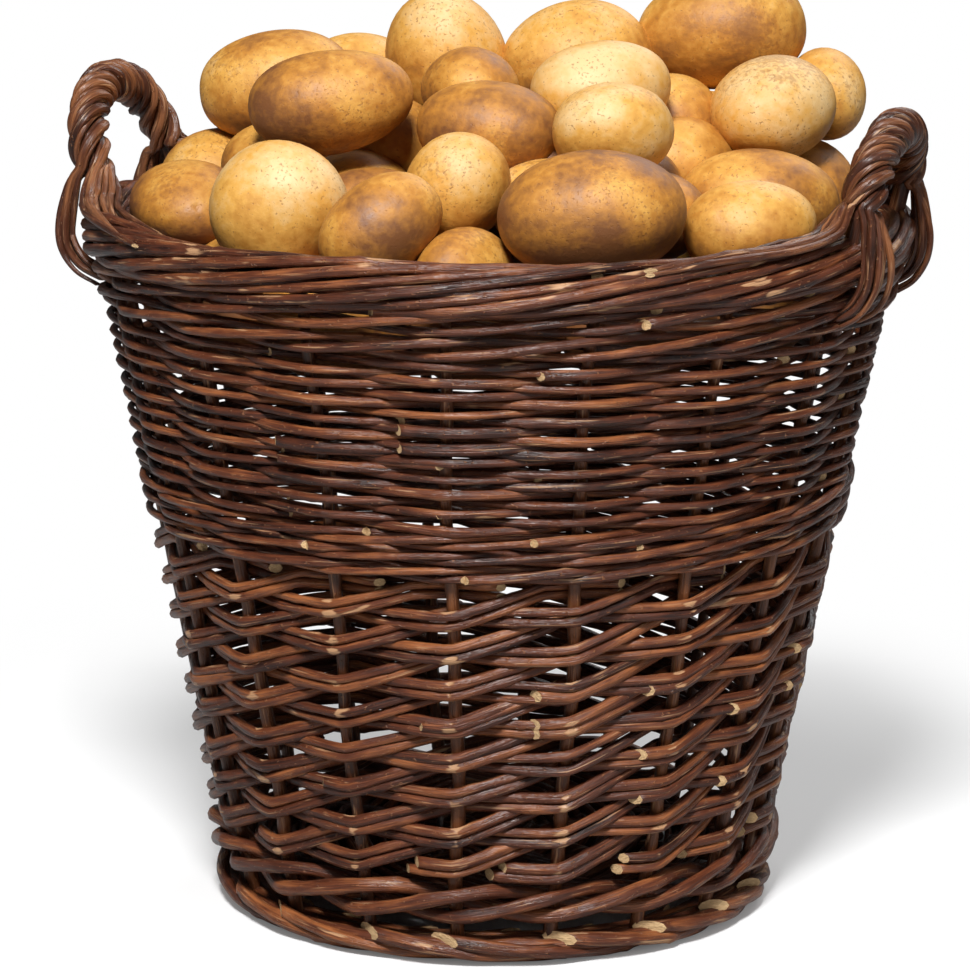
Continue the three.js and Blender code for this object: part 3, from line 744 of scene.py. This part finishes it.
# Tails that lie along the top: how they spread over its rounding, and their points by run, way out and rise
LYING_SPREAD = 0.0115
LYING_LAY = 0.5
LYING_ROUNDING = 0.0175
LYING_REACHES = (0.55, 1.15)
LEAVING = (0.008, 0.012)
LANDING = (0.022, 0.004)
LYING = ((0.05, 0.001, 0.0), (0.095, 0.002, -0.001), (0.13, 0.003, -0.005))


def smooth(points, steps):
    """A Catmull-Rom curve through points: on each span, the cubic that leaves and arrives along its
    neighbours."""
    padded = np.concatenate([2 * points[:1] - points[1:2], points, 2 * points[-1:] - points[-2:-1]])
    place = np.linspace(0, len(points) - 1 - 1e-9, steps)
    span = place.astype(int)
    t = (place - span)[:, None]
    before, here, there, after = (padded[span + shift] for shift in range(4))
    return here + 0.5 * t * (there - before + t * (2 * before - 5 * here + 4 * there - after
                                                   + t * (3 * (here - there) + after - before)))


def strand_tail(point, turn, rod, away, bulge):
    """Points on from the rope's foot. The rods of a strand on the rope's outer side go straight down to the
    border, round its outer face, an oval, and in under it, one on top of the other; they may bulge out past
    it. Those of a strand on the inner side turn away from the handle and lie side by side along the top of
    the border, at the height of its rounding there."""
    circle = np.hypot(point[0], point[1])
    angle = np.arctan2(point[1], point[0])
    if cos(turn) > 0:
        off = STRAND_RADIUS + TAIL_LAYER * rod - TAIL_PRESS
        slide = TAIL_RUN * growth.uniform(*TAIL_SLIDES)
        face = border_circle + BORDER_WIDTH / 2 + off + bulge
        places = [(0, (circle + face) / 2, border_level + border_rise + TAIL_HEAD)]
        for number, down in enumerate(np.radians(TAIL_TURNS), 1):
            outward = border_circle + (BORDER_WIDTH / 2 + off + bulge) * cos(down)
            lower = border_level + (border_rise + off) * sin(down) - TAIL_DROP * number / len(TAIL_TURNS)
            places.append((slide * number, outward, lower))
    else:
        spread = (turn + LYING_LAY * (rod - 1)) % (2 * pi)
        across = LYING_SPREAD * (spread / (pi / 2) - 2)
        rest = border_level + (border_rise + STRAND_RADIUS) * (1 - (across / LYING_ROUNDING) ** 2) ** 0.5
        lying = border_circle + across
        reach = growth.uniform(*LYING_REACHES)
        places = [(LEAVING[0], (circle + lying) / 2, rest + LEAVING[1])]
        places.append((LANDING[0], lying, rest + LANDING[1]))
        places += [(run * reach, lying + out, rest + rise) for run, out, rise in LYING]
    run, circle, level = np.array(places).T
    return about_axis(circle, angle + away * run / circle, level)


for name, facing, rise, lean in HANDLES:
    spine = respaced(handle_arch(facing, rise, lean, FINE_STEPS), SPINE_STEPS)
    tangent = unit(np.gradient(spine, axis=0))
    outward = np.array([cos(facing), sin(facing), 0.0])
    normal = unit(outward - tangent * np.sum(outward * tangent, axis=-1, keepdims=True))
    side = np.cross(tangent, normal)
    first = int(SPINE_STEPS * HELIX_START)
    wound_part = slice(first, SPINE_STEPS - first, HELIX_STRIDE)
    share = (np.linspace(0, 1, SPINE_STEPS)[:, None] - HELIX_START) / (1 - 2 * HELIX_START)
    eased = share - HELIX_EASE * np.sin(2 * pi * share) / (2 * pi)
    for strand in range(STRANDS):
        turn = radians(360 / STRANDS * (strand + 0.5)) + HELIX_TURNS * 2 * pi * eased
        paths = []
        for rod in range(STRAND_RODS):
            lay = turn + STRAND_LAY * (rod - 1) + drift(turn.T, LAY_DRIFT).T
            ring = HELIX_RADIUS + STRAND_CROWN * (rod == 1) + drift(turn.T, RING_DRIFT).T
            wound = (spine + ring * (np.cos(lay) * normal + np.sin(lay) * side))[wound_part]
            near = strand_tail(wound[0], turn[first, 0], rod, -1, TAIL_BULGE[name])
            far = strand_tail(wound[-1], turn[-first, 0], rod, 1, TAIL_BULGE[name])
            points = np.concatenate([near[::-1], wound, far])
            paths.append(respaced(smooth(points, SPAN_STEPS * len(points)), STRAND_STEPS))
        paths = np.array(paths)
        tone = growth.uniform(*STRAND_TONES, STRAND_RODS)
        run = along(paths)
        tip = np.minimum(1, np.minimum(run, run[:, -1:] - run) / TIP_LENGTH)
        radius = STRAND_RADIUS * np.reshape(STRAND_SHARES, (-1, 1)) * (TIP_SHARE + (1 - TIP_SHARE) * tip)
        made = rods(f"{name}_strand_{strand + 1}", paths, radius, tone, away=outward, slant=STRAND_SLANT)
        node = f"{name}_handle_strand_{strand + 1}"
        piece(f"{name}_strand_{strand + 1}", made, rope_bark, "basket", "rope_bark", node)


# Potato bed. The potatoes below the heap that hardly show: two rings of them and a crown lie wedged in the
# mouth of the basket. They are laid out as in the CAD model's bed, one potato at each of its places.

LUMPS = ((1.6, 0.05), (2.6, 0.04), (4.3, 0.014))
EYES = 7
EYE_WIDTH = 0.06
EYE_DEPTH = 0.03
BROW_WIDTH = 0.07
BROW_RISE = 0.014
FULLNESS = 0.08
FULLEST = 1.25
POLE = 0.03
# Painted shade on the potatoes' undersides: how much darker the bottom gets, and how far above the middle it
# starts
UNDER_PAINTED_SHADE = 0.64
PAINTED_SHADE_START = 0.2


def potatoes(name, centres, axes, halves, tones, steps=56, sides=40):
    """Potatoes, closed lumpy ovals: a ring round the long axis at each step from end to end.

    A point of the unit ball is n = (-cos(p), sin(p) cos(a), sin(p) sin(a)). It is moved out or in by three
    slow sine waves along directions of the potato's own, and in at the eyes, small hollows with a brow on
    one side. Then the ball is made fuller towards its ends, stretched to the half sizes, turned to the axes
    and moved to the centre. The attribute tone is higher on a paler potato, and lower towards the bottom of
    each potato, a painted shade on its underside.
    """
    polar = np.linspace(POLE, pi - POLE, steps)[:, None]
    turn = np.arange(sides) * 2 * pi / sides
    across = np.sin(polar)
    ball = np.stack(np.broadcast_arrays(-np.cos(polar), across * np.cos(turn), across * np.sin(turn)), -1)
    rings = []
    for centre, turned, half in zip(centres, axes, halves):
        out = np.zeros(ball.shape[:2])
        for waves, reach in LUMPS:
            direction = unit(growth.normal(size=3))
            out += reach * np.sin(waves * ball @ direction + growth.uniform(0, 2 * pi))
        for place in unit(growth.normal(size=(EYES, 3))):
            gap = np.linalg.norm(ball - place, axis=-1)
            brow = np.linalg.norm(ball - place - (BROW_WIDTH, 0, 0), axis=-1)
            swell = BROW_RISE * np.exp(-(brow / BROW_WIDTH) ** 2)
            out += swell - EYE_DEPTH * np.exp(-(gap / EYE_WIDTH) ** 2)
        shape = ball * (1 + out)[..., None]
        shape[..., 1:] *= np.minimum(across ** -FULLNESS, FULLEST)[..., None]
        rings.append(centre + (shape * half) @ turned)
    rings = np.array(rings)
    mesh = tube_mesh(name, rings)
    # Painted shade: the tone falls towards the bottom of each potato, darkening its underside as if in
    # shadow
    under = np.reshape(centres, (-1, 1, 1, 3))[..., 2] - rings[..., 2]
    under = under / np.ptp(rings[..., 2], axis=(1, 2), keepdims=True)
    painted_shade = UNDER_PAINTED_SHADE * np.clip(under + PAINTED_SHADE_START, 0, 1)
    mark(mesh, "tone", np.reshape(tones, (-1, 1, 1)) - painted_shade)
    return mesh


EVENLY = (1, 1, 1)
CLOUDS = (EVENLY, 24, 3)
DAPPLES = (EVENLY, 220, 5)
GRIT = (EVENLY, 700, 3)
STAINS = (EVENLY, 18, 2)
STAIN_SPOTS = (EVENLY, 420, 4)
SPECKS = (EVENLY, 620, 3)
RUSSET_EDGE = (0.98, 1.16)
RUSSET_SHOWS = 0.45
SPECK_EDGE = (0.74, 0.84)
SPECK_SHOWS = 0.55
SKIN_BROWN = (0.19, 0.07, 0.02)
SKIN_OCHRE = (0.46, 0.19, 0.026)
SKIN_GOLD = (0.66, 0.34, 0.065)
SKIN_PALE = (0.74, 0.51, 0.24)
SKIN_RUSSET = (0.23, 0.085, 0.02, 1)
SKIN_SPECK = (0.2, 0.075, 0.02, 1)
SKIN_RELIEF = {"Strength": 0.35, "Distance": 0.001}

potato_skin = bpy.data.materials.new("potato_skin")
potato_skin.use_nodes = True
wire = Wire(potato_skin.node_tree)
place = wire.node("ShaderNodeTexCoord", {}, {}, "Object")
tone = attribute(wire, "tone", "Fac")
cloud = noise(wire, place, *CLOUDS)
dapple = noise(wire, place, *DAPPLES)
grit = noise(wire, place, *GRIT)
ripe = tone * 0.44 + cloud * 0.9 + dapple * 0.3 - 0.3
stops = [(0.25, SKIN_BROWN), (0.42, SKIN_OCHRE), (0.58, SKIN_GOLD), (0.8, SKIN_PALE)]
skin = wire.node("ShaderNodeValToRGB", {"stops": stops}, {"Fac": ripe})
stained = noise(wire, place, *STAINS) + noise(wire, place, *STAIN_SPOTS) * 0.8
russet = between(wire, stained, *RUSSET_EDGE)
skin = blend(wire, russet * RUSSET_SHOWS, skin, SKIN_RUSSET)
speckled = noise(wire, place, *SPECKS) + cloud * 0.25
speck = between(wire, speckled, *SPECK_EDGE)
skin = blend(wire, speck * SPECK_SHOWS, skin, SKIN_SPECK)
height = grit * 0.4 + dapple * 0.6 - speck * 0.5
normal = wire.node("ShaderNodeBump", {}, {**SKIN_RELIEF, "Height": height})
finish(potato_skin, skin, 0.4 + dapple * 0.3, normal)

BED_HALVES = (0.043, 0.037, 0.031)
BED_SIZES = (0.93, 1.0)
# The bed's potatoes vary in tone like the others but are set darker, down below the brownest skin: painted
# shade where they lie under the heap and against the wall
BED_SHADED_TONES = (-0.4, 0.3)
BED_GRID = (36, 28)
BED_PITCH = 0.08
BED_WIDTH = 0.092
BED_PRESS = 0.005
BED_THICKNESS = 0.066
CROWN_LIFT = 0.044
CROWN_FRONT = -0.06
# Rings counted out from the middle, and their layers: 0 is the bed and 1 the crown
BED_RINGS = ((1, 0), (2, 0), (0, 1), (1, 1))

bed_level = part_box("potato_bed")[0].z + BED_THICKNESS / 2
bed_circle = wall_middle(bed_level) - WALL / 2 + BED_PRESS - BED_WIDTH / 2
centres = []
axes = []
for ring, layer in BED_RINGS:
    circle = bed_circle * ring / 2
    count = max(1, round(2 * pi * circle / BED_PITCH))
    for number in range(count):
        angle = 2 * pi * (number + 0.5) / count
        middle = (circle * cos(angle), circle * sin(angle), bed_level + CROWN_LIFT * layer)
        if layer == 0 or middle[1] > CROWN_FRONT:
            centres.append(middle)
            axes.append(((-sin(angle), cos(angle), 0), (-cos(angle), -sin(angle), 0), (0, 0, 1)))
bed_halves = np.array(BED_HALVES) * growth.uniform(*BED_SIZES, (len(centres), 3))
bed_shaded_tones = growth.uniform(*BED_SHADED_TONES, len(centres))
bed = potatoes("bed_potatoes", np.array(centres), np.array(axes), bed_halves, bed_shaded_tones, *BED_GRID)
piece("bed_potatoes", bed, potato_skin, "potatoes", "potato_skin", "potato_bed")


# Loose potatoes. The twenty-three that make the heap, each on the place and axes of its CAD node. Their
# tones run from 0, a brown skin, to 1, a pale one.

TONES = (0.3, 0.8, 0.4, 0.1, 0.65, 0.35, 0.2, 0.4, 0.5, 0.4, 0.5, 0.4,
         0.6, 0.3, 0.85, 0.45, 0.9, 0.35, 0.6, 0.5, 0.6, 0.95, 0.35)

heap = {}
for number, tone in enumerate(TONES, 1):
    node = f"potato_{number:02d}"
    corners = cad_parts[node].data.vertices
    points = np.empty(3 * len(corners), np.float32)
    corners.foreach_get("co", points)
    points = points.reshape(-1, 3).astype(float)
    turned = np.linalg.svd(points - points.mean(axis=0), full_matrices=False)[2]
    turned[2] = np.cross(turned[0], turned[1])
    spread = points @ turned.T
    half = (spread.max(axis=0) - spread.min(axis=0)) / 2
    middle = (spread.max(axis=0) + spread.min(axis=0)) / 2 @ turned
    heap[number] = (middle, turned, half)
    loose = potatoes(f"heap_{node}", [middle], [turned], [half], [tone])
    piece(f"heap_{node}", loose, potato_skin, "potatoes", "potato_skin", node)


# Half-hidden potatoes. More of the heap, small ones of which only a part shows between the loose ones. Each
# starts in the hollow between two or three of those, given by their numbers, or above it on the heap's
# crest, and is moved clear of them step by step.

HOLLOWS = ((1, 14, 16), (6, 15, 22), (6, 17, 22), (6, 15), (2, 13, 14), (13, 15, 18), (3, 4), (2, 3), (1, 2),
           (17, 21, 22), (8, 17, 21), (14, 19, 23))
CRESTS = ((11, 16, 19), (7, 17))
HOLLOW_SINK = 0.022
CREST_RISE = 0.012
HIDDEN_HALVES = (0.031, 0.026, 0.025)
HIDDEN_SIZES = (0.88, 1.08)
HIDDEN_TONES = (0.2, 0.7)
SETTLING = 80


def settled(middle, reach):
    """Moves a potato clear of the loose ones: each that it reaches into pushes it away from its own middle.

    The share is how far out the potato's middle lies in a loose one that is larger by reach: 1 is touching.
    """
    for step in range(SETTLING):
        for centre, turned, half in heap.values():
            gap = middle - centre
            share = np.linalg.norm(gap @ turned.T / (half + reach))
            middle = middle + 0.5 * gap * max(0.0, 1 / share - 1)
    return middle


for number, neighbours in enumerate(HOLLOWS + CRESTS, 1):
    rise = CREST_RISE if neighbours in CRESTS else -HOLLOW_SINK
    middle = np.mean([heap[neighbour][0] for neighbour in neighbours], axis=0)
    middle = settled(middle + rise * UP, HIDDEN_HALVES[1])
    angle = growth.uniform(0, pi)
    turned = np.array([(cos(angle), sin(angle), 0), (-sin(angle), cos(angle), 0), (0, 0, 1)])
    half = np.array(HIDDEN_HALVES) * growth.uniform(*HIDDEN_SIZES, 3)
    tone = growth.uniform(*HIDDEN_TONES)
    hidden = potatoes(f"half_hidden_potato_{number:02d}", [middle], [turned], [half], [tone])
    piece(f"half_hidden_potato_{number:02d}", hidden, potato_skin, "potatoes", "potato_skin")


# Floor, light and camera. A plain white floor that shows white to the camera and keeps a soft shadow, a soft
# key light from above the front, weaker ones on the right and behind, and the photograph's long lens.

FLOOR_HALF = 20
FLOOR_SHADOW = 0.72
SHADOW_NEAR = 0.3
SHADOW_FAR = 0.75
UNDER_BASKET = 0.12
BESIDE_BASKET = 0.17
PALE_FLOOR = (0.42, 0.42, 0.42, 1)
WHITE_FLOOR = (0.95, 0.95, 0.95, 1)
WHITE = (1, 1, 1, 1)

floor_mesh = bpy.data.meshes.new("floor")
corners = [(x * FLOOR_HALF, y * FLOOR_HALF, 0) for x, y in ((-1, -1), (1, -1), (1, 1), (-1, 1))]
floor_mesh.from_pydata(corners, [], [(0, 1, 2, 3)])
floor = bpy.data.objects.new("floor", floor_mesh)
bpy.context.scene.collection.objects.link(floor)
paper = bpy.data.materials.new("white_paper")
paper.use_nodes = True
tree = paper.node_tree
tree.nodes.remove(tree.nodes["Principled BSDF"])
wire = Wire(tree)
camera_ray = wire.node("ShaderNodeLightPath", {}, {}, "Is Camera Ray")
matt = wire.node("ShaderNodeBsdfDiffuse", {}, {"Color": blend(wire, camera_ray, PALE_FLOOR, WHITE_FLOOR)})
glow = wire.node("ShaderNodeEmission", {}, {"Color": WHITE, "Strength": 1.0})
place = wire.node("ShaderNodeTexCoord", {}, {}, "Object")
distance = wire.node("ShaderNodeVectorMath", {"operation": "LENGTH"}, {0: place}, "Value")
far = between(wire, distance, SHADOW_NEAR, SHADOW_FAR)
beside = between(wire, distance, UNDER_BASKET, BESIDE_BASKET)
white = camera_ray * beside * (1 - FLOOR_SHADOW + far * FLOOR_SHADOW)
mixed = wire.node("ShaderNodeMixShader", {}, {0: white, 1: matt, 2: glow})
tree.links.new(mixed.socket, tree.nodes["Material Output"].inputs["Surface"])
floor_mesh.materials.append(paper)

SKY_LIGHT = 0.07
LAMP_AIM = Vector((0, 0, 0.3))
# A lamp's name, place, size and power
KEY_LAMP = ("key", (0.35, -1.95, 2.6), 0.6, 130)
FILL_LAMP = ("fill", (2.3, -1.6, 1.4), 1.4, 8)
BACK_LAMP = ("back", (0.5, 2.0, 2.2), 1.6, 30)

world = bpy.data.worlds.new("studio")
world.use_nodes = True
sky = world.node_tree.nodes["Background"]
sky.inputs["Color"].default_value = WHITE
sky.inputs["Strength"].default_value = SKY_LIGHT
bpy.context.scene.world = world
for name, place, size, power in (KEY_LAMP, FILL_LAMP, BACK_LAMP):
    lamp = bpy.data.lights.new(name, "AREA")
    lamp.size = size
    lamp.energy = power
    stand = bpy.data.objects.new(name, lamp)
    stand.location = place
    stand.rotation_euler = (stand.location - LAMP_AIM).to_track_quat("Z", "Y").to_euler()
    bpy.context.scene.collection.objects.link(stand)

CAMERA_DISTANCE = 2.29
CAMERA_HEIGHT = 0.729
CAMERA_AZIMUTH = radians(17)
CAMERA_PITCH = radians(12.38)
CAMERA_ROLL = radians(0.39)
LENS = 158.3
SENSOR_WIDTH = 36
LENS_SHIFT = -0.011

camera = bpy.data.cameras.new("camera")
camera.lens = LENS
camera.sensor_width = SENSOR_WIDTH
camera.shift_x = LENS_SHIFT
eye = bpy.data.objects.new("camera", camera)
turned = Matrix.Rotation(CAMERA_AZIMUTH, 4, "Z") @ Matrix.Rotation(pi / 2 - CAMERA_PITCH, 4, "X")
turned = turned @ Matrix.Rotation(CAMERA_ROLL, 4, "Z")
place = (CAMERA_DISTANCE * sin(CAMERA_AZIMUTH), -CAMERA_DISTANCE * cos(CAMERA_AZIMUTH), CAMERA_HEIGHT)
eye.matrix_world = Matrix.Translation(place) @ turned
bpy.context.scene.collection.objects.link(eye)
bpy.context.scene.camera = eye
bpy.context.scene.view_settings.view_transform = "Standard"
